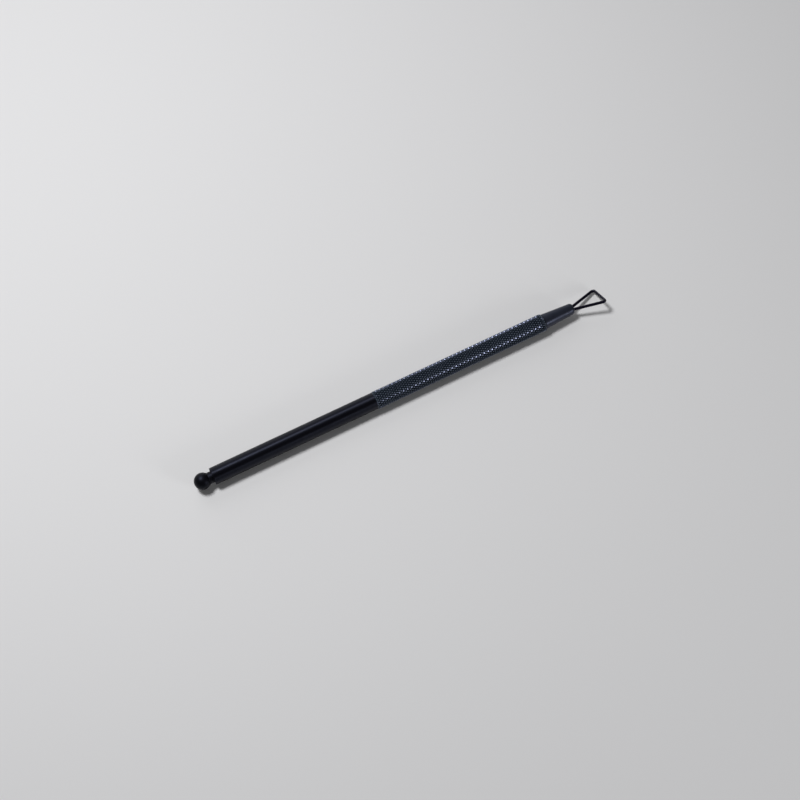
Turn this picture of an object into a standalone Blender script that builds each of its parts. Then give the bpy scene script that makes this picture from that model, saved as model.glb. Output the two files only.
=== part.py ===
"""A nail gel scraper: a knurled metal bar with a pressed-in ball at one end and a triangular wire loop
held in a tapered nose at the other.

The tool lies along X as it lies on a table, with the loop towards +X. It rests on the crests of its knurl at
Z = 0, halfway along its length at X = 0. Every turned piece is drawn as a profile of (x, radius) and spun
about its own X axis. Lengths are in metres.
"""

import math

import bmesh
import bpy
from mathutils import Vector

MM = 0.001

# The handle bar, from its rear face forwards: a plain body, the knurled grip, a short run-out
BAR_DIAMETER = 4.6 * MM
PLAIN_LENGTH = 46.4 * MM
GRIP_LENGTH = 50.5 * MM
GRIP_RUNOUT = 0.2 * MM
REAR_CHAMFER = 0.12 * MM
FRONT_CHAMFER = 0.1 * MM

# The knurl is rolled, so its crests stand above the bar and its grooves lie below it
CREST_HEIGHT = 0.15 * MM
GROOVE_DEPTH = 0.12 * MM
KNURL_PITCH_ALONG = 1.2 * MM
KNURL_PITCH_AROUND = 0.69 * MM

# The ball end: a ball on a pin that is pressed into the bar's rear bore
BALL_DIAMETER = 4.45 * MM
BALL_STANDOFF = 2.775 * MM
PIN_DIAMETER = 3.05 * MM
PIN_DEPTH = 8.0 * MM
PIN_CHAMFER = 0.25 * MM
NECK_FILLET = 0.2 * MM

# The nose ferrule: a cone on a shank that is pressed into the bar's front bore
NOSE_LENGTH = 9.1 * MM
NOSE_BASE_DIAMETER = 4.2 * MM
NOSE_TIP_DIAMETER = 3.15 * MM
NOSE_BASE_CHAMFER = 0.08 * MM
NOSE_ROUND_LENGTH = 0.9 * MM
NOSE_LIP_WIDTH = 0.06 * MM
SHANK_DIAMETER = 2.8 * MM
SHANK_DEPTH = 9.0 * MM
SHANK_CHAMFER = 0.25 * MM
WIRE_BORE_DIAMETER = 2.25 * MM
WIRE_BORE_DEPTH = 7.0 * MM

# The scraper loop: one wire bent to a triangle, with its tails against the wall of the nose's bore
WIRE_DIAMETER = 0.82 * MM
LOOP_REACH = 8.75 * MM
LOOP_CORNER_SPACING = 6.9 * MM
CORNER_RADIUS = 0.7 * MM
TAIL_DEPTH = 6.5 * MM
LEG_BEND_RADIUS = 1.0 * MM
LEG_BEND_STANDOFF = 0.25 * MM
GRIND_DEPTH = 0.26 * MM
LOOP_CLEARANCE = 0.35 * MM

# The solder that locks the tails at the mouth of the nose
SOLDER_DEPTH = 1.5 * MM
SOLDER_RECESS = 0.1 * MM
SOLDER_DISH = 0.12 * MM

# Room left between pieces that touch on the real tool, and at the blind end of a bore
FIT_GAP = 0.05 * MM
BORE_END_GAP = 0.3 * MM
CUTTER_OVERRUN = 1.0 * MM

# Counts and angles
BALL_STEPS = 14
ROUND_STEPS = 6
BEND_STEPS = 6
CORNER_STEPS = 8
WIRE_BEVEL_RESOLUTION = 4
CUTTER_SIDES = 24
DRILL_POINT_ANGLE = math.radians(59)
SHARP_EDGE_ANGLE = math.radians(30)
QUARTER_TURN = math.radians(90)
WELD_DISTANCE = 0.0001 * MM

# Sizes that follow from the ones above
BAR_RADIUS = BAR_DIAMETER / 2
CREST_RADIUS = BAR_RADIUS + CREST_HEIGHT
GROOVE_RADIUS = BAR_RADIUS - GROOVE_DEPTH
BALL_RADIUS = BALL_DIAMETER / 2
WIRE_RADIUS = WIRE_DIAMETER / 2
BAR_LENGTH = PLAIN_LENGTH + GRIP_LENGTH + GRIP_RUNOUT
REAR_FACE = BALL_RADIUS + BALL_STANDOFF
FRONT_FACE = REAR_FACE + BAR_LENGTH
NOSE_BASE = FRONT_FACE + FIT_GAP
NOSE_FRONT = NOSE_BASE + NOSE_LENGTH
OVERALL_LENGTH = NOSE_FRONT + LOOP_REACH
TAIL_OFFSET = WIRE_BORE_DIAMETER / 2 - FIT_GAP - WIRE_RADIUS
REST_HEIGHT = max(CREST_RADIUS, BALL_RADIUS)

# A whole number of diamonds each way, with a row of crests along the bottom and along the top
KNURL_REPEATS = max(1, round(GRIP_LENGTH / KNURL_PITCH_ALONG))
KNURL_STARTS = max(8, round(math.pi * BAR_DIAMETER / KNURL_PITCH_AROUND))
SIDES = 2 * KNURL_STARTS
GRIP_ROW = GRIP_LENGTH / KNURL_REPEATS / 2


def clear_scene():
    for obj in list(bpy.data.objects):
        bpy.data.objects.remove(obj, do_unlink=True)


def coated_metal(name, colour, roughness, metallic):
    """A Principled BSDF material for one piece."""
    made = bpy.data.materials.new(name)
    made.use_nodes = True
    shader = made.node_tree.nodes["Principled BSDF"]
    shader.inputs["Base Color"].default_value = (*colour, 1)
    shader.inputs["Roughness"].default_value = roughness
    shader.inputs["Metallic"].default_value = metallic
    return made


def place(obj, axis, station, finish):
    """Finishes a piece and hangs it on the tool's axis, this far from the ball's tip."""
    obj.parent = axis
    obj.location = (station, 0, 0)
    obj.data.materials.append(finish)
    return obj


def object_from(name, bm):
    """A smooth-shaded object from a finished bmesh, linked to the scene."""
    bmesh.ops.remove_doubles(bm, verts=bm.verts, dist=WELD_DISTANCE)
    bmesh.ops.recalc_face_normals(bm, faces=bm.faces)
    mesh = bpy.data.meshes.new(name)
    bm.to_mesh(mesh)
    bm.free()
    mesh.shade_smooth()
    mesh.set_sharp_from_angle(angle=SHARP_EDGE_ANGLE)
    obj = bpy.data.objects.new(name, mesh)
    bpy.context.scene.collection.objects.link(obj)
    return obj


def spun(profile, sides):
    """A bmesh of the closed solid that a profile of (x, radius) makes when it is spun about X."""
    bm = bmesh.new()
    points = [bm.verts.new((x, 0, radius)) for x, radius in profile]
    lines = [bm.edges.new(pair) for pair in zip(points, points[1:])]
    bmesh.ops.spin(
        bm,
        geom=points + lines,
        cent=(0, 0, 0),
        axis=(1, 0, 0),
        angle=math.tau,
        steps=sides,
        use_merge=True,
    )
    bmesh.ops.remove_doubles(bm, verts=bm.verts, dist=WELD_DISTANCE)
    return bm


def drill_point(radius):
    """How far the cone at the bottom of a drilled hole reaches past the hole's wall."""
    return radius / math.tan(DRILL_POINT_ANGLE)


def arc(centre, radii, start, end, steps):
    """Points of (x, radius) along an ellipse's arc, with angles counted from +X."""
    turns = [start + (end - start) * step / steps for step in range(steps + 1)]
    return [
        (centre[0] + radii[0] * math.cos(turn), centre[1] + radii[1] * math.sin(turn))
        for turn in turns
    ]


def is_groove(row, side):
    """Grooves cross at every second point of the grip's grid, and the diamonds' crests are the others."""
    return (row + side) % 2 == 1


def roll_knurl(bm):
    """Rolls two crossing sets of grooves into the plain rings of the grip, which leaves pointed diamonds."""
    last_row = 2 * KNURL_REPEATS
    grooves = set()
    rows = {}
    for vert in bm.verts:
        row = round((vert.co.x - PLAIN_LENGTH) / GRIP_ROW)
        on_row = abs(vert.co.x - PLAIN_LENGTH - row * GRIP_ROW) < WELD_DISTANCE
        radius = math.hypot(vert.co.y, vert.co.z)
        if not on_row or not 0 <= row <= last_row or abs(radius - BAR_RADIUS) > WELD_DISTANCE:
            continue
        side = round(math.atan2(vert.co.y, vert.co.z) / math.tau * SIDES)
        groove = is_groove(row, side)
        scale = (GROOVE_RADIUS if groove else CREST_RADIUS) / radius
        vert.co.y *= scale
        vert.co.z *= scale
        rows[vert] = row
        if groove:
            grooves.add(vert)
    for face in list(bm.faces):
        if len(face.verts) == 4 and all(vert in rows for vert in face.verts):
            low = [vert for vert in face.verts if vert in grooves]
            bmesh.utils.face_split(face, low[0], low[1])


def build_handle_bar():
    """The bar, measured from its rear face, with a blind bore in each end."""
    rear_bore = PIN_DIAMETER / 2 + FIT_GAP
    front_bore = SHANK_DIAMETER / 2 + FIT_GAP
    rear_wall = PIN_DEPTH + BORE_END_GAP
    front_wall = BAR_LENGTH - SHANK_DEPTH - BORE_END_GAP
    profile = [
        (rear_wall + drill_point(rear_bore), 0),
        (rear_wall, rear_bore),
        (0, rear_bore),
        (0, BAR_RADIUS - REAR_CHAMFER),
        (REAR_CHAMFER, BAR_RADIUS),
        (PLAIN_LENGTH - GRIP_RUNOUT, BAR_RADIUS),
    ]
    profile += [
        (PLAIN_LENGTH + row * GRIP_ROW, BAR_RADIUS)
        for row in range(2 * KNURL_REPEATS + 1)
    ]
    profile += [
        (BAR_LENGTH - FRONT_CHAMFER, BAR_RADIUS),
        (BAR_LENGTH, BAR_RADIUS - FRONT_CHAMFER),
        (BAR_LENGTH, front_bore),
        (front_wall, front_bore),
        (front_wall - drill_point(front_bore), 0),
    ]
    bm = spun(profile, SIDES)
    roll_knurl(bm)
    return object_from("handle_bar", bm)


def build_ball_end():
    """The ball and its pin, measured from the ball's centre."""
    pin_radius = PIN_DIAMETER / 2
    pin_end = BALL_STANDOFF + PIN_DEPTH
    # The fillet's circle touches the ball outside and the pin's side
    fillet_height = pin_radius + NECK_FILLET
    fillet_station = math.sqrt((BALL_RADIUS + NECK_FILLET) ** 2 - fillet_height**2)
    meeting_angle = math.atan2(fillet_height, fillet_station)
    profile = arc((0, 0), (BALL_RADIUS, BALL_RADIUS), 2 * QUARTER_TURN, meeting_angle, BALL_STEPS)
    profile[0] = (-BALL_RADIUS, 0)
    profile += arc(
        (fillet_station, fillet_height),
        (NECK_FILLET, NECK_FILLET),
        meeting_angle + 2 * QUARTER_TURN,
        3 * QUARTER_TURN,
        ROUND_STEPS,
    )[1:]
    profile += [
        (pin_end - PIN_CHAMFER, pin_radius),
        (pin_end, pin_radius - PIN_CHAMFER),
        (pin_end, 0),
    ]
    return object_from("ball_end", spun(profile, SIDES))


def build_nose_ferrule():
    """The cone and its shank, measured from the cone's base, with a blind bore for the wire."""
    shank_radius = SHANK_DIAMETER / 2
    base_radius = NOSE_BASE_DIAMETER / 2
    tip_radius = NOSE_TIP_DIAMETER / 2
    bore_radius = WIRE_BORE_DIAMETER / 2
    lip_radius = bore_radius + NOSE_LIP_WIDTH
    bore_wall = NOSE_LENGTH - WIRE_BORE_DEPTH
    profile = [
        (-SHANK_DEPTH, 0),
        (-SHANK_DEPTH, shank_radius - SHANK_CHAMFER),
        (-SHANK_DEPTH + SHANK_CHAMFER, shank_radius),
        (0, shank_radius),
        (0, base_radius - NOSE_BASE_CHAMFER),
        (NOSE_BASE_CHAMFER, base_radius),
    ]
    profile += arc(
        (NOSE_LENGTH - NOSE_ROUND_LENGTH, lip_radius),
        (NOSE_ROUND_LENGTH, tip_radius - lip_radius),
        QUARTER_TURN,
        0,
        ROUND_STEPS,
    )
    profile += [
        (NOSE_LENGTH, bore_radius),
        (bore_wall, bore_radius),
        (bore_wall - drill_point(bore_radius), 0),
    ]
    return object_from("nose_ferrule", spun(profile, SIDES))


def rounded_path(corners, radii, steps):
    """A flat path through these corners, each inner one rounded by an arc of its own radius."""
    path = [corners[0]]
    for before, corner, after, radius, count in zip(
        corners, corners[1:], corners[2:], radii, steps
    ):
        into = (corner - before).normalized()
        out_of = (after - corner).normalized()
        turn = into.angle(out_of)
        tangent = radius * math.tan(turn / 2)
        start = corner - into * tangent
        inward = (out_of - into * into.dot(out_of)).normalized()
        centre = start + inward * radius
        for step in range(count + 1):
            swept = turn * step / count
            spoke = into * math.sin(swept) - inward * math.cos(swept)
            path.append(centre + spoke * radius)
    path.append(corners[-1])
    return path


def build_scraper_loop():
    """The bent wire, measured from the nose's front face, in its own XY plane."""
    bar_line = LOOP_REACH - WIRE_RADIUS + GRIND_DEPTH
    half_spacing = LOOP_CORNER_SPACING / 2
    corners = [
        Vector((-TAIL_DEPTH, TAIL_OFFSET, 0)),
        Vector((LEG_BEND_STANDOFF, TAIL_OFFSET, 0)),
        Vector((bar_line, half_spacing, 0)),
        Vector((bar_line, -half_spacing, 0)),
        Vector((LEG_BEND_STANDOFF, -TAIL_OFFSET, 0)),
        Vector((-TAIL_DEPTH, -TAIL_OFFSET, 0)),
    ]
    radii = [LEG_BEND_RADIUS, CORNER_RADIUS, CORNER_RADIUS, LEG_BEND_RADIUS]
    steps = [BEND_STEPS, CORNER_STEPS, CORNER_STEPS, BEND_STEPS]
    path = rounded_path(corners, radii, steps)

    curve = bpy.data.curves.new("loop_path", "CURVE")
    curve.dimensions = "3D"
    curve.bevel_depth = WIRE_RADIUS
    curve.bevel_resolution = WIRE_BEVEL_RESOLUTION
    curve.use_fill_caps = True
    spline = curve.splines.new("POLY")
    spline.points.add(len(path) - 1)
    for point, place_on_wire in zip(spline.points, path):
        point.co = (*place_on_wire, 1)

    guide = bpy.data.objects.new("loop_path", curve)
    bm = bmesh.new()
    bm.from_mesh(bpy.data.meshes.new_from_object(guide))
    bpy.data.objects.remove(guide)
    loop = object_from("scraper_loop", bm)
    grind_front(loop)
    return loop


def add_cutter(name, bm, target):
    """Subtracts a hidden cutter from a piece with a Boolean modifier."""
    cutter = object_from(name, bm)
    cutter.hide_render = True
    cutter.display_type = "WIRE"
    cutter.parent = target
    cut = target.modifiers.new(name, "BOOLEAN")
    cut.operation = "DIFFERENCE"
    cut.object = cutter
    return cutter


def grind_front(loop):
    """Grinds a flat along the outer side of the loop's bar, which leaves two scraping edges."""
    reach = LOOP_CORNER_SPACING + WIRE_DIAMETER
    bm = bmesh.new()
    bmesh.ops.create_cube(bm, size=1)
    bmesh.ops.scale(bm, vec=(CUTTER_OVERRUN, reach, reach), verts=bm.verts)
    bmesh.ops.translate(bm, vec=(LOOP_REACH + CUTTER_OVERRUN / 2, 0, 0), verts=bm.verts)
    add_cutter("grinding_wheel", bm, loop)


def build_solder_fill():
    """The solder around the tails, measured from the nose's front face, in the loop's plane."""
    outer_radius = WIRE_BORE_DIAMETER / 2 - FIT_GAP
    front = -SOLDER_RECESS
    profile = [
        (-SOLDER_DEPTH, 0),
        (-SOLDER_DEPTH, outer_radius),
        (front, outer_radius),
        (front - SOLDER_DISH, 0),
    ]
    fill = object_from("solder_fill", spun(profile, CUTTER_SIDES))
    for name, side in (("tail_hole_left", 1), ("tail_hole_right", -1)):
        hole = [
            (-SOLDER_DEPTH - CUTTER_OVERRUN, 0),
            (-SOLDER_DEPTH - CUTTER_OVERRUN, WIRE_RADIUS + FIT_GAP),
            (CUTTER_OVERRUN, WIRE_RADIUS + FIT_GAP),
            (CUTTER_OVERRUN, 0),
        ]
        cutter = add_cutter(name, spun(hole, CUTTER_SIDES), fill)
        cutter.location = (0, side * TAIL_OFFSET, 0)
    return fill


def loop_roll():
    """How far the loop is rolled about the tool's axis, so that its low corner clears the table."""
    drop = REST_HEIGHT - WIRE_RADIUS - LOOP_CLEARANCE
    return math.asin(min(1, max(0, drop / (LOOP_CORNER_SPACING / 2))))


def main():
    clear_scene()
    bar_black = coated_metal("satin_black_bar", (0.018, 0.019, 0.022), 0.42, 0.3)
    ball_black = coated_metal("gloss_black_ball", (0.014, 0.014, 0.018), 0.25, 0.3)
    nose_black = coated_metal("satin_black_nose", (0.018, 0.019, 0.022), 0.38, 0.3)
    wire_black = coated_metal("blackened_wire", (0.02, 0.02, 0.026), 0.3, 0.5)
    solder_black = coated_metal("coated_solder", (0.02, 0.02, 0.024), 0.5, 0.3)

    axis = bpy.data.objects.new("tool_axis", None)
    axis.location = (-OVERALL_LENGTH / 2, 0, REST_HEIGHT)
    bpy.context.scene.collection.objects.link(axis)

    place(build_handle_bar(), axis, REAR_FACE, bar_black)
    place(build_ball_end(), axis, BALL_RADIUS, ball_black)
    place(build_nose_ferrule(), axis, NOSE_BASE, nose_black)
    loop = place(build_scraper_loop(), axis, NOSE_FRONT, wire_black)
    fill = place(build_solder_fill(), axis, NOSE_FRONT, solder_black)
    for rolled in (loop, fill):
        rolled.rotation_euler.x = -loop_roll()


main()
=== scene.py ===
import math

import bmesh
import bpy
from mathutils import Matrix, Vector


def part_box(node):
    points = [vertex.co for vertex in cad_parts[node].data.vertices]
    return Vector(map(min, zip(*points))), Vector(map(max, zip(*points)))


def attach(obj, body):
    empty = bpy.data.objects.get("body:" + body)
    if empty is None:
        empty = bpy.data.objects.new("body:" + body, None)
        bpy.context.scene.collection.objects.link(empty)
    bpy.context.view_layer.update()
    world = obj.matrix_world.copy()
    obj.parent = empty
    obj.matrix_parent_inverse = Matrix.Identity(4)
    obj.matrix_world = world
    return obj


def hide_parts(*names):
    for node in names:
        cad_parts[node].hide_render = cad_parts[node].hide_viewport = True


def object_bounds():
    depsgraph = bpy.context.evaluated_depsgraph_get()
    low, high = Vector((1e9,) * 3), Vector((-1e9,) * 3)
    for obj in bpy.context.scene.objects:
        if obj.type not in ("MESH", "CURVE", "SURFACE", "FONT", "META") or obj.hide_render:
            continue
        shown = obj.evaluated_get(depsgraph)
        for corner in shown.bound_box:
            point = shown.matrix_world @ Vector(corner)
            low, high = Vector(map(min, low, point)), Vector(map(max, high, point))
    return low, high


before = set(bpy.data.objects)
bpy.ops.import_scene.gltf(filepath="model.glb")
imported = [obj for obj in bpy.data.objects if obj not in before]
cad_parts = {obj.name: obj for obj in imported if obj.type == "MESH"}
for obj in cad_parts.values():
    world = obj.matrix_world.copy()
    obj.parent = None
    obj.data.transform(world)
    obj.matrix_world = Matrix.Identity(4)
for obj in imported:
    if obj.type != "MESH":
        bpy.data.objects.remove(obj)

cad_low, cad_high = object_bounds()

# The handle bar is one length of round steel with a blind bore in each end. Its rear half is turned smooth,
# and its front half carries a diamond knurl that two wheels pressed in. All of it has a thin black coat,
# satin on the turned half. On the knurl the coat is painted lighter and bluer, partly its own tone and
# partly a painted sheen for the light its facets catch, and its crests lighter still, partly worn and
# partly a painted glint.
MM = 0.001
QUARTER_TURN = math.radians(90)
SAME_PLACE = 0.0005 * MM
WELD_DISTANCE = 0.00005 * MM
SHARP_EDGE = math.radians(32)
TURNED_SIDES = 128

BAR_DIAMETER = 4.6 * MM
REAR_CHAMFER = 0.12 * MM
FRONT_CHAMFER = 0.1 * MM
REAR_BORE_DIAMETER = 3.15 * MM
REAR_BORE_DEPTH = 8.3 * MM
FRONT_BORE_DIAMETER = 2.9 * MM
FRONT_BORE_DEPTH = 9.3 * MM
DRILL_POINT_SHARE = 0.6

GRIP_LENGTH = 50.5 * MM
FRONT_BAND = 0.2 * MM
RUNOUT = 0.06 * MM
DIAMONDS_ALONG = 42
DIAMONDS_AROUND = 21
GROOVE_DEPTH = 0.165 * MM
CREST_HEIGHT = 0.15 * MM
DIAMOND_HEIGHT = 0.314 * MM
FLANK_WIDTH = 0.272 * MM
LAST_DIAMOND_HEIGHT = 0.238 * MM
HALF_DIAMOND_HEIGHT = 0.13 * MM
HALF_FLANK_WIDTH = 0.12 * MM

COOL_SHEEN = (0.62, 0.68, 1.0)
CLOUD_SCALE = 0.45 / MM
CLOUD_DETAIL = 4
CLOUD_LOW = 0.3
CLOUD_HIGH = 0.7
DARK_PATCH_SHARE = 0.8
LIGHT_PATCH_SHARE = 1.25
GLOSSIER_BY = 0.03
DULLER_BY = 0.05
PEEL_SCALE = 5 / MM
PEEL_DETAIL = 2
WEAR_AND_GLINT_START_SHARE = 0.05

bar_low, bar_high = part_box("handle_bar")
axis_height = (bar_low.z + bar_high.z) / 2
bar_radius = BAR_DIAMETER / 2
groove_radius = bar_radius - GROOVE_DEPTH
grip_front = bar_high.x - FRONT_BAND
grip_rear = grip_front - GRIP_LENGTH


def from_axis(point):
    """How far a point of a turned piece lies from the tool's axis."""
    return math.hypot(point.y, point.z - axis_height)


def start_piece(name, add_primitive, **settings):
    """Adds a primitive as the start of a piece, puts its place in its mesh and opens it for editing."""
    bpy.ops.object.select_all(action="DESELECT")
    add_primitive(**settings)
    piece = bpy.context.object
    piece.name = name
    bpy.ops.object.transform_apply(location=True, rotation=True, scale=True)
    bpy.ops.object.mode_set(mode="EDIT")
    return piece


def pick(piece, kind, wanted):
    """Selects the vertices, edges or faces that pass a test, and nothing else."""
    modes = {"verts": "VERT", "edges": "EDGE", "faces": "FACE"}
    bpy.ops.mesh.select_mode(type=modes[kind])
    bpy.ops.mesh.select_all(action="DESELECT")
    mesh = bmesh.from_edit_mesh(piece.data)
    for element in getattr(mesh, kind):
        if wanted(element):
            element.select_set(True)
    bmesh.update_edit_mesh(piece.data)


def pick_open_rings(piece, *stations):
    """Selects the open rings of edges at these places along the axis."""
    pick(
        piece,
        "edges",
        lambda edge: edge.is_boundary
        and any(
            all(abs(vert.co.x - station) < SAME_PLACE for vert in edge.verts)
            for station in stations
        ),
    )


def turn_profile(profile):
    """Extrudes the selected ring through a lathe profile of (place along the axis, radius)."""
    for (station, radius), (next_station, next_radius) in zip(profile, profile[1:]):
        bpy.ops.mesh.extrude_region_move(
            TRANSFORM_OT_translate={"value": (next_station - station, 0, 0)}
        )
        share = next_radius / radius
        bpy.ops.transform.resize(
            value=(1, share, share),
            center_override=(0, 0, axis_height),
        )


def close_point():
    """Welds the selected ring, drawn in to nothing, into the point at the bottom of a drilled hole."""
    bpy.ops.mesh.merge(type="COLLAPSE")


def finish_piece(piece, node, material):
    """Closes the editing of a piece, shades it and lets it stand for its CAD node."""
    bpy.ops.mesh.select_all(action="SELECT")
    bpy.ops.mesh.remove_doubles(threshold=WELD_DISTANCE)
    bpy.ops.mesh.normals_make_consistent(inside=False)
    bpy.ops.object.mode_set(mode="OBJECT")
    bpy.ops.object.shade_smooth_by_angle(angle=SHARP_EDGE)
    piece.data.materials.append(material)
    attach(piece, "root")
    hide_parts(node)


def black_coat(name, colour, gloss_level, roughness, peel_depth):
    """A thin sprayed coat of black on metal, slightly uneven in tone and gloss, with a faint peel."""
    material = bpy.data.materials.new(name)
    material.use_nodes = True
    tree = material.node_tree
    shader = tree.nodes["Principled BSDF"]
    shader.inputs["Specular IOR Level"].default_value = gloss_level
    shader.inputs["Specular Tint"].default_value = (*COOL_SHEEN, 1)
    place = tree.nodes.new("ShaderNodeTexCoord").outputs["Object"]

    cloud = tree.nodes.new("ShaderNodeTexNoise")
    cloud.inputs["Scale"].default_value = CLOUD_SCALE
    cloud.inputs["Detail"].default_value = CLOUD_DETAIL
    tree.links.new(place, cloud.inputs["Vector"])

    tone = tree.nodes.new("ShaderNodeMix")
    tone.data_type = "RGBA"
    tone.inputs["A"].default_value = (*[part * DARK_PATCH_SHARE for part in colour], 1)
    tone.inputs["B"].default_value = (*[part * LIGHT_PATCH_SHARE for part in colour], 1)
    tree.links.new(cloud.outputs["Fac"], tone.inputs["Factor"])
    tree.links.new(tone.outputs["Result"], shader.inputs["Base Color"])

    gloss = tree.nodes.new("ShaderNodeMapRange")
    gloss.inputs["From Min"].default_value = CLOUD_LOW
    gloss.inputs["From Max"].default_value = CLOUD_HIGH
    gloss.inputs["To Min"].default_value = roughness - GLOSSIER_BY
    gloss.inputs["To Max"].default_value = roughness + DULLER_BY
    tree.links.new(cloud.outputs["Fac"], gloss.inputs["Value"])
    tree.links.new(gloss.outputs["Result"], shader.inputs["Roughness"])

    peel = tree.nodes.new("ShaderNodeTexNoise")
    peel.inputs["Scale"].default_value = PEEL_SCALE
    peel.inputs["Detail"].default_value = PEEL_DETAIL
    tree.links.new(place, peel.inputs["Vector"])
    relief = tree.nodes.new("ShaderNodeBump")
    relief.inputs["Distance"].default_value = peel_depth
    tree.links.new(peel.outputs["Fac"], relief.inputs["Height"])
    tree.links.new(relief.outputs["Normal"], shader.inputs["Normal"])
    return material


def draw_out_highlight(material, share):
    """The fine rings that turning leaves under the coat spread a highlight along the axis."""
    tree = material.node_tree
    shader = tree.nodes["Principled BSDF"]
    shader.inputs["Anisotropic"].default_value = share
    along = tree.nodes.new("ShaderNodeCombineXYZ")
    along.inputs["X"].default_value = 1
    tree.links.new(along.outputs["Vector"], shader.inputs["Tangent"])


def paint_crest_wear_and_glint(material, wear_and_glint_colour):
    """Lightens the crests of the knurl, which are all that stands above the plain bar: partly wear, partly
    a painted glint.
    """
    tree = material.node_tree
    shader = tree.nodes["Principled BSDF"]
    place = tree.nodes.new("ShaderNodeTexCoord").outputs["Object"]
    coat_tone = shader.inputs["Base Color"].links[0].from_socket

    centred = tree.nodes.new("ShaderNodeMapping")
    centred.inputs["Location"].default_value = (0, 0, -axis_height)
    centred.inputs["Scale"].default_value = (0, 1, 1)
    tree.links.new(place, centred.inputs["Vector"])
    reach = tree.nodes.new("ShaderNodeVectorMath")
    reach.operation = "LENGTH"
    tree.links.new(centred.outputs["Vector"], reach.inputs[0])
    crest_wear_and_glint = tree.nodes.new("ShaderNodeMapRange")
    crest_wear_and_glint.inputs["From Min"].default_value = bar_radius + CREST_HEIGHT * WEAR_AND_GLINT_START_SHARE
    crest_wear_and_glint.inputs["From Max"].default_value = bar_radius + CREST_HEIGHT
    tree.links.new(reach.outputs["Value"], crest_wear_and_glint.inputs["Value"])

    tone = tree.nodes.new("ShaderNodeMix")
    tone.data_type = "RGBA"
    tone.inputs["B"].default_value = (*wear_and_glint_colour, 1)
    tree.links.new(coat_tone, tone.inputs["A"])
    tree.links.new(crest_wear_and_glint.outputs["Result"], tone.inputs["Factor"])
    tree.links.new(tone.outputs["Result"], shader.inputs["Base Color"])


bar = start_piece(
    "knurled_handle",
    bpy.ops.mesh.primitive_cylinder_add,
    vertices=DIAMONDS_AROUND,
    radius=groove_radius,
    depth=GRIP_LENGTH,
    end_fill_type="NOTHING",
    location=((grip_rear + grip_front) / 2, 0, axis_height),
    rotation=(0, QUARTER_TURN, 0),
)

# The grip starts as a grid of one cell for each diamond. The middles of the cells are raised to lie as far
# from the axis as their corners, and both become crossings of the grooves.
pick(bar, "edges", lambda edge: abs(edge.verts[0].co.x - edge.verts[1].co.x) > SAME_PLACE)
bpy.ops.mesh.subdivide(number_cuts=DIAMONDS_ALONG - 1)
bpy.ops.mesh.select_mode(type="FACE")
bpy.ops.mesh.select_all(action="SELECT")
cell_bulge = groove_radius * (1 - math.cos(math.pi / DIAMONDS_AROUND))
bpy.ops.mesh.poke(offset=cell_bulge)


def is_grid_line(edge):
    """The grid's own lines run along the axis or around it, and the grooves run slantwise."""
    run = edge.verts[1].co - edge.verts[0].co
    return not edge.is_boundary and (
        abs(run.x) < SAME_PLACE or math.hypot(run.y, run.z) < SAME_PLACE
    )


pick(bar, "edges", is_grid_line)
bpy.ops.mesh.dissolve_edges(use_verts=False)

# The grooves run out to the plain bar at both ends
pick(bar, "verts", lambda vert: vert.is_boundary)
runout_share = bar_radius / groove_radius
bpy.ops.transform.resize(
    value=(1, runout_share, runout_share),
    center_override=(0, 0, axis_height),
)


def at_runout(face):
    """The last diamonds and half diamonds at the two ends have a corner out on the plain bar."""
    return any(from_axis(vert.co) > groove_radius + SAME_PLACE for vert in face.verts)


# Each diamond stands up between its grooves with a small flat top. Those at the two ends start higher, on
# the run-out, so they are raised less.
for corners, is_last, flank_width, height in (
    (4, True, FLANK_WIDTH, LAST_DIAMOND_HEIGHT),
    (3, True, HALF_FLANK_WIDTH, HALF_DIAMOND_HEIGHT),
    (4, False, FLANK_WIDTH, DIAMOND_HEIGHT),
):
    pick(
        bar,
        "faces",
        lambda face: len(face.verts) == corners and at_runout(face) == is_last,
    )
    bpy.ops.mesh.inset(thickness=flank_width, depth=height, use_individual=True)

# From each end of the knurl the bar runs on plain to a chamfered end with a drilled bore
for bar_end, inwards, chamfer, knurl_end, bore_diameter, bore_depth in (
    (bar_low.x, 1, REAR_CHAMFER, grip_rear, REAR_BORE_DIAMETER, REAR_BORE_DEPTH),
    (bar_high.x, -1, FRONT_CHAMFER, grip_front, FRONT_BORE_DIAMETER, FRONT_BORE_DEPTH),
):
    plain_start = knurl_end - inwards * RUNOUT
    plain_end = bar_end + inwards * chamfer
    bpy.ops.mesh.primitive_cylinder_add(
        vertices=TURNED_SIDES,
        radius=bar_radius,
        depth=abs(plain_start - plain_end),
        end_fill_type="NOTHING",
        location=((plain_start + plain_end) / 2, 0, axis_height),
        rotation=(0, QUARTER_TURN, 0),
    )
    pick_open_rings(bar, plain_end)
    bore_radius = bore_diameter / 2
    bore_bottom = bar_end + inwards * bore_depth
    turn_profile([
        (plain_end, bar_radius),
        (bar_end, bar_radius - chamfer),
        (bar_end, bore_radius),
        (bore_bottom, bore_radius),
        (bore_bottom + inwards * bore_radius * DRILL_POINT_SHARE, 0),
    ])
    close_point()
    pick_open_rings(bar, plain_start, knurl_end)
    bpy.ops.mesh.bridge_edge_loops()

satin_black = black_coat(
    "satin_black_coat",
    colour=(0.0020, 0.0019, 0.0028),
    gloss_level=0.29,
    roughness=0.48,
    peel_depth=0.003 * MM,
)
draw_out_highlight(satin_black, share=0.85)
# The knurl's coat is lighter and bluer than the bar's: partly its own tone, partly a painted sheen for the
# light its many facets catch.
knurl_black = black_coat(
    "knurl_coat_and_painted_sheen",
    colour=(0.009, 0.014, 0.021),
    gloss_level=0.7,
    roughness=0.28,
    peel_depth=0.001 * MM,
)
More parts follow.
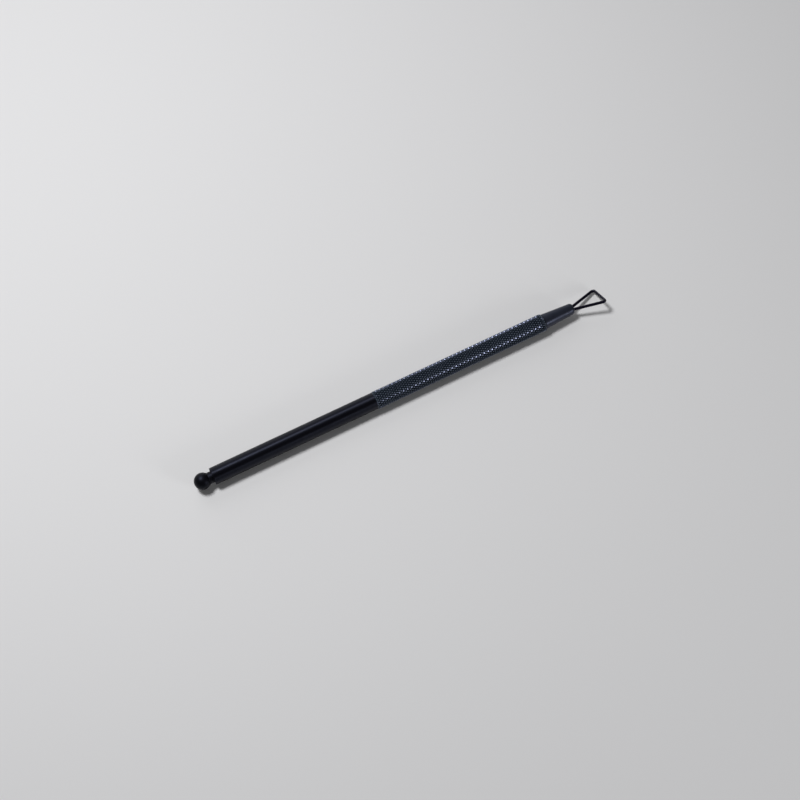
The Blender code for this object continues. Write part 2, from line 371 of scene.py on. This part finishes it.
# The crests are painted lighter still: partly wear on the coat, partly a painted glint.
paint_crest_wear_and_glint(knurl_black, wear_and_glint_colour=(0.210, 0.255, 0.315))
finish_piece(bar, "handle_bar", satin_black)
bar.data.materials.append(knurl_black)
knurl_index = bar.data.materials.find(knurl_black.name)
for face in bar.data.polygons:
    if grip_rear - RUNOUT < face.center.x < grip_front + RUNOUT:
        face.material_index = knurl_index

# The ball is turned in one with a short neck and a long pin, and the pin is pressed into the bar's rear
# bore. It is coated black like the bar, and its coat is glossier because the ball was polished first.
NECK_DIAMETER = 3.05 * MM
NECK_FILLET = 0.2 * MM
PIN_CHAMFER = 0.25 * MM
FILLET_STEPS = 8
BALL_RINGS = 64

ball_low, ball_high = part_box("ball_end")
ball_radius = (ball_high.z - ball_low.z) / 2
ball_centre = ball_low.x + ball_radius
neck_radius = NECK_DIAMETER / 2
fillet_height = neck_radius + NECK_FILLET
fillet_reach = math.sqrt((ball_radius + NECK_FILLET) ** 2 - fillet_height**2)
meeting_angle = math.atan2(fillet_height, fillet_reach)
meeting_station = ball_centre + ball_radius * math.cos(meeting_angle)

ball = start_piece(
    "ball_and_neck",
    bpy.ops.mesh.primitive_uv_sphere_add,
    segments=TURNED_SIDES,
    ring_count=BALL_RINGS,
    radius=ball_radius,
    location=(ball_centre, 0, axis_height),
    rotation=(0, QUARTER_TURN, 0),
)
bpy.ops.mesh.select_all(action="SELECT")
bpy.ops.mesh.bisect(
    plane_co=(meeting_station, 0, axis_height),
    plane_no=(1, 0, 0),
    clear_outer=True,
    threshold=WELD_DISTANCE,
)
pick_open_rings(ball, meeting_station)
neck_profile = [(meeting_station, ball_radius * math.sin(meeting_angle))]
for step in range(1, FILLET_STEPS + 1):
    angle = meeting_angle + (QUARTER_TURN - meeting_angle) * step / FILLET_STEPS
    neck_profile.append((
        ball_centre + fillet_reach - NECK_FILLET * math.cos(angle),
        fillet_height - NECK_FILLET * math.sin(angle),
    ))
neck_profile += [
    (ball_high.x - PIN_CHAMFER, neck_radius),
    (ball_high.x, neck_radius - PIN_CHAMFER),
]
turn_profile(neck_profile)
bpy.ops.mesh.edge_face_add()

gloss_black = black_coat(
    "gloss_black_coat",
    colour=(0.0020, 0.0018, 0.0024),
    gloss_level=0.16,
    roughness=0.44,
    peel_depth=0.0015 * MM,
)
finish_piece(ball, "ball_end", gloss_black)

# The nose is a turned steel cone on a shank, and the shank is pressed into the bar's front bore. Its mouth
# is drilled for the wire's two tails, and its front edge is rounded so that it doesn't catch on the skin.
NOSE_BASE_DIAMETER = 4.2 * MM
NOSE_TIP_DIAMETER = 3.15 * MM
NOSE_BASE_CHAMFER = 0.08 * MM
NOSE_ROUND_LENGTH = 0.9 * MM
NOSE_ROUND_STEPS = 12
NOSE_LIP_WIDTH = 0.06 * MM
SHANK_DIAMETER = 2.8 * MM
SHANK_DEPTH = 9.0 * MM
SHANK_CHAMFER = 0.25 * MM
MOUTH_DIAMETER = 2.25 * MM
MOUTH_DEPTH = 7.0 * MM

nose_low, nose_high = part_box("nose_ferrule")
nose_rear = nose_low.x + SHANK_DEPTH
nose_base_radius = NOSE_BASE_DIAMETER / 2
nose_tip_radius = NOSE_TIP_DIAMETER / 2
shank_radius = SHANK_DIAMETER / 2
mouth_radius = MOUTH_DIAMETER / 2
mouth_bottom = nose_high.x - MOUTH_DEPTH
lip_radius = mouth_radius + NOSE_LIP_WIDTH
cone_rear = nose_rear + NOSE_BASE_CHAMFER
cone_front = nose_high.x - NOSE_ROUND_LENGTH

nose = start_piece(
    "tapered_nose",
    bpy.ops.mesh.primitive_cone_add,
    vertices=TURNED_SIDES,
    radius1=nose_base_radius,
    radius2=nose_tip_radius,
    depth=cone_front - cone_rear,
    end_fill_type="NOTHING",
    location=((cone_rear + cone_front) / 2, 0, axis_height),
    rotation=(0, QUARTER_TURN, 0),
)
pick_open_rings(nose, cone_rear)
turn_profile([
    (cone_rear, nose_base_radius),
    (nose_rear, nose_base_radius - NOSE_BASE_CHAMFER),
    (nose_rear, shank_radius),
    (nose_low.x + SHANK_CHAMFER, shank_radius),
    (nose_low.x, shank_radius - SHANK_CHAMFER),
])
bpy.ops.mesh.edge_face_add()
pick_open_rings(nose, cone_front)
front_profile = []
for step in range(NOSE_ROUND_STEPS + 1):
    angle = QUARTER_TURN * step / NOSE_ROUND_STEPS
    front_profile.append((
        cone_front + NOSE_ROUND_LENGTH * math.sin(angle),
        lip_radius + (nose_tip_radius - lip_radius) * math.cos(angle),
    ))
front_profile += [
    (nose_high.x, mouth_radius),
    (mouth_bottom, mouth_radius),
    (mouth_bottom - mouth_radius * DRILL_POINT_SHARE, 0),
]
turn_profile(front_profile)
close_point()

nose_black = black_coat(
    "smooth_black_coat",
    colour=(0.011, 0.013, 0.019),
    gloss_level=0.5,
    roughness=0.38,
    peel_depth=0.003 * MM,
)
finish_piece(nose, "nose_ferrule", nose_black)

# The loop is one piece of hard wire, bent on a jig to a triangle with its two tails side by side in the
# nose. Its front side is ground flat along the outside, which leaves two scraping edges, and then the wire
# is blackened.
WIRE_DIAMETER = 0.82 * MM
WIRE_SIDES = 32
FIT_GAP = 0.05 * MM
TAIL_DEPTH = 6.5 * MM
LEG_BEND_STANDOFF = 0.25 * MM
LEG_BEND_RADIUS = 1.0 * MM
LEG_BEND_STEPS = 10
LOOP_REACH = 8.75 * MM
LOOP_CORNER_SPACING = 6.9 * MM
LOOP_CLEARANCE = 0.35 * MM
CORNER_RADIUS = 0.7 * MM
CORNER_STEPS = 20
GRIND_DEPTH = 0.26 * MM
GRIND_EDGE = 0.015 * MM
GRIND_EDGE_STEPS = 2

wire_radius = WIRE_DIAMETER / 2
tail_offset = mouth_radius - FIT_GAP - wire_radius
leg_start = Vector((LEG_BEND_STANDOFF, tail_offset, 0))
leg_end = Vector((LOOP_REACH - wire_radius + GRIND_DEPTH, LOOP_CORNER_SPACING / 2, 0))
leg = leg_end - leg_start
leg_angle = math.atan2(leg.y, leg.x)
corner_angle = leg_angle + QUARTER_TURN
leg_bend_tangent = LEG_BEND_RADIUS * math.tan(leg_angle / 2)
corner_tangent = CORNER_RADIUS * math.tan(corner_angle / 2)
straight_tail = TAIL_DEPTH + LEG_BEND_STANDOFF - leg_bend_tangent
straight_leg = leg.length - leg_bend_tangent - corner_tangent
straight_front = LOOP_CORNER_SPACING - 2 * corner_tangent

# The wire is bent lying flat, with the tool's axis along X and the mouth of the nose at the origin
wire_end = Vector((-TAIL_DEPTH, tail_offset, 0))
heading = Vector((1, 0, 0))
loop = start_piece(
    "wire_loop",
    bpy.ops.mesh.primitive_circle_add,
    vertices=WIRE_SIDES,
    radius=wire_radius,
    fill_type="NGON",
    location=wire_end,
    rotation=(0, QUARTER_TURN, 0),
)

# Each straight length is fed out and then bent, to the left for a positive angle. Spin counts its angle
# the other way round.
for straight, bend_radius, bend_angle, bend_steps in (
    (straight_tail, LEG_BEND_RADIUS, leg_angle, LEG_BEND_STEPS),
    (straight_leg, CORNER_RADIUS, -corner_angle, CORNER_STEPS),
    (straight_front, CORNER_RADIUS, -corner_angle, CORNER_STEPS),
    (straight_leg, LEG_BEND_RADIUS, leg_angle, LEG_BEND_STEPS),
):
    bpy.ops.mesh.extrude_region_move(TRANSFORM_OT_translate={"value": heading * straight})
    wire_end = wire_end + heading * straight
    to_centre = Vector((-heading.y, heading.x, 0)) * math.copysign(bend_radius, bend_angle)
    centre = wire_end + to_centre
    bpy.ops.mesh.spin(steps=bend_steps, angle=-bend_angle, center=centre, axis=(0, 0, 1))
    bend = Matrix.Rotation(bend_angle, 3, "Z")
    wire_end = centre - bend @ to_centre
    heading = bend @ heading
bpy.ops.mesh.extrude_region_move(TRANSFORM_OT_translate={"value": heading * straight_tail})

# Grinding takes off all that reaches past the flat, and the edge around it is left finely rounded
bpy.ops.mesh.select_all(action="SELECT")
bpy.ops.mesh.bisect(
    plane_co=(LOOP_REACH, 0, 0),
    plane_no=(1, 0, 0),
    clear_outer=True,
    use_fill=True,
    threshold=WELD_DISTANCE,
)
pick(
    loop,
    "faces",
    lambda face: all(abs(vert.co.x - LOOP_REACH) < SAME_PLACE for vert in face.verts),
)
bpy.ops.mesh.select_mode(type="EDGE")
bpy.ops.mesh.bevel(offset=GRIND_EDGE, segments=GRIND_EDGE_STEPS, affect="EDGES")

# The loop is fixed in the nose rolled over, with its lower corner just clear of the surface
corner_drop = axis_height - wire_radius - LOOP_CLEARANCE
loop_roll = -math.asin(corner_drop / (LOOP_CORNER_SPACING / 2))
bpy.ops.object.mode_set(mode="OBJECT")
loop.location = (nose_high.x, 0, axis_height)
loop.rotation_euler = (loop_roll, 0, 0)
bpy.ops.object.transform_apply(location=True, rotation=True, scale=True)
bpy.ops.object.mode_set(mode="EDIT")

wire_black = black_coat(
    "blackened_wire",
    colour=(0.0025, 0.0014, 0.0060),
    gloss_level=0.25,
    roughness=0.2,
    peel_depth=0.001 * MM,
)
finish_piece(loop, "scraper_loop", wire_black)

# Solder fills the mouth of the nose around the two tails. It wets the wires and the wall, so it stands a
# little higher where it meets them and is dished between, and the black coat goes over it too.
SOLDER_DEPTH = 1.5 * MM
SOLDER_RECESS = 0.1 * MM
SOLDER_DISH = 0.16 * MM
SOLDER_SIDES = 64
SOLDER_RINGS = 12
WETTING_WIDTH = 0.16 * MM
FACING_FORWARD = 0.9

solder_radius = mouth_radius - FIT_GAP
solder_front = nose_high.x - SOLDER_RECESS
solder_length = SOLDER_DEPTH - SOLDER_RECESS
solder = start_piece(
    "solder_seat",
    bpy.ops.mesh.primitive_cylinder_add,
    vertices=SOLDER_SIDES,
    radius=solder_radius,
    depth=solder_length,
    location=(solder_front - solder_length / 2, 0, axis_height),
    rotation=(0, QUARTER_TURN, 0),
)
pick(solder, "faces", lambda face: face.normal.x > FACING_FORWARD)
for _ in range(SOLDER_RINGS - 1):
    bpy.ops.mesh.inset(thickness=solder_radius / SOLDER_RINGS)
bpy.ops.mesh.poke()
bpy.ops.object.mode_set(mode="OBJECT")
tail_direction = Vector((0, math.cos(loop_roll), math.sin(loop_roll)))
tails = [Vector((0, 0, axis_height)) + tail_direction * side * tail_offset for side in (1, -1)]
for vert in solder.data.vertices:
    if abs(vert.co.x - solder_front) < SAME_PLACE:
        across = Vector((0, vert.co.y, vert.co.z))
        gaps = [max(0, (across - tail).length - wire_radius) for tail in tails]
        gaps.append(solder_radius - from_axis(vert.co))
        vert.co.x -= SOLDER_DISH * (1 - math.exp(-min(gaps) / WETTING_WIDTH))
bpy.ops.object.mode_set(mode="EDIT")

solder_black = black_coat(
    "coated_solder",
    colour=(0.004, 0.004, 0.0045),
    gloss_level=0.3,
    roughness=0.5,
    peel_depth=0.006 * MM,
)
finish_piece(solder, "solder_fill", solder_black)

# The tool lies on a plain pale table top, which is not part of it. The top is matt, and far wider than
# the camera's view.
FLOOR_SIZE = 6.0
FLOOR_COLOUR = (0.70, 0.70, 0.71)
FLOOR_ROUGHNESS = 0.7
FLOOR_GLOSS_LEVEL = 0.2

bpy.ops.object.select_all(action="DESELECT")
bpy.ops.mesh.primitive_plane_add(size=FLOOR_SIZE, location=(0, 0, cad_low.z))
floor = bpy.context.object
floor.name = "table_top"
table_paint = bpy.data.materials.new("pale_table")
table_paint.use_nodes = True
table_shader = table_paint.node_tree.nodes["Principled BSDF"]
table_shader.inputs["Base Color"].default_value = (*FLOOR_COLOUR, 1)
table_shader.inputs["Roughness"].default_value = FLOOR_ROUGHNESS
table_shader.inputs["Specular IOR Level"].default_value = FLOOR_GLOSS_LEVEL
floor.data.materials.append(table_paint)

# The key softbox hangs high on the tool's left near the ball, and makes the shadow, the highlight along
# the body and the bright marks along the knurl. The front softbox, low on the right beyond the loop, draws
# the stripe on the nose. The rear panel, past the tool from the camera, and the dim room lighten the rest.
KEY_PLACE = Vector((-0.125, 0.191, 0.455))
KEY_SIZE = 0.14
KEY_POWER = 2.0
FRONT_PLACE = Vector((0.223, -0.385, 0.140))
FRONT_SIZE = 0.13
FRONT_POWER = 0.45
PANEL_PLACE = Vector((0, 1.0, 0.4))
PANEL_SIZE = 1.0
PANEL_POWER = 3.2
ROOM_COLOUR = (1, 1, 1)
ROOM_LIGHT = 0.08


def add_softbox(name, shape, place, size, power):
    """A softbox that faces the tool."""
    lamp = bpy.data.lights.new(name, "AREA")
    lamp.shape = shape
    lamp.size = size
    lamp.energy = power
    softbox = bpy.data.objects.new(name, lamp)
    softbox.visible_camera = False
    softbox.location = place
    softbox.rotation_euler = place.to_track_quat("Z", "Y").to_euler()
    bpy.context.scene.collection.objects.link(softbox)


add_softbox("key_softbox", "DISK", KEY_PLACE, KEY_SIZE, KEY_POWER)
add_softbox("front_softbox", "DISK", FRONT_PLACE, FRONT_SIZE, FRONT_POWER)
add_softbox("rear_panel", "SQUARE", PANEL_PLACE, PANEL_SIZE, PANEL_POWER)

room = bpy.data.worlds.new("dim_room")
room.use_nodes = True
room_light = room.node_tree.nodes["Background"]
room_light.inputs["Color"].default_value = (*ROOM_COLOUR, 1)
room_light.inputs["Strength"].default_value = ROOM_LIGHT
bpy.context.scene.world = room

# The camera stands at the photograph's viewing angle, on the tool's right and a little towards the ball,
# and looks steeply down. It was fitted to the two edges of the bar in the photograph.
CAMERA_AZIMUTH = math.radians(-27.348)
CAMERA_ELEVATION = math.radians(65.05)
CAMERA_TARGET = Vector((-2.091, -1.838, 0)) * MM
CAMERA_DISTANCE = 369.02 * MM
SENSOR_WIDTH = 36
FOCAL_LENGTH = 63
CLIP_START = 10 * MM

lens = bpy.data.cameras.new("camera")
lens.sensor_width = SENSOR_WIDTH
lens.lens = FOCAL_LENGTH
lens.clip_start = CLIP_START
camera = bpy.data.objects.new("camera", lens)
line_of_sight = Vector((
    -math.sin(CAMERA_AZIMUTH) * math.cos(CAMERA_ELEVATION),
    math.cos(CAMERA_AZIMUTH) * math.cos(CAMERA_ELEVATION),
    -math.sin(CAMERA_ELEVATION),
))
camera.location = CAMERA_TARGET - line_of_sight * CAMERA_DISTANCE
camera.rotation_euler = line_of_sight.to_track_quat("-Z", "Y").to_euler()
bpy.context.scene.collection.objects.link(camera)
bpy.context.scene.camera = camera
bpy.context.scene.view_settings.view_transform = "Standard"
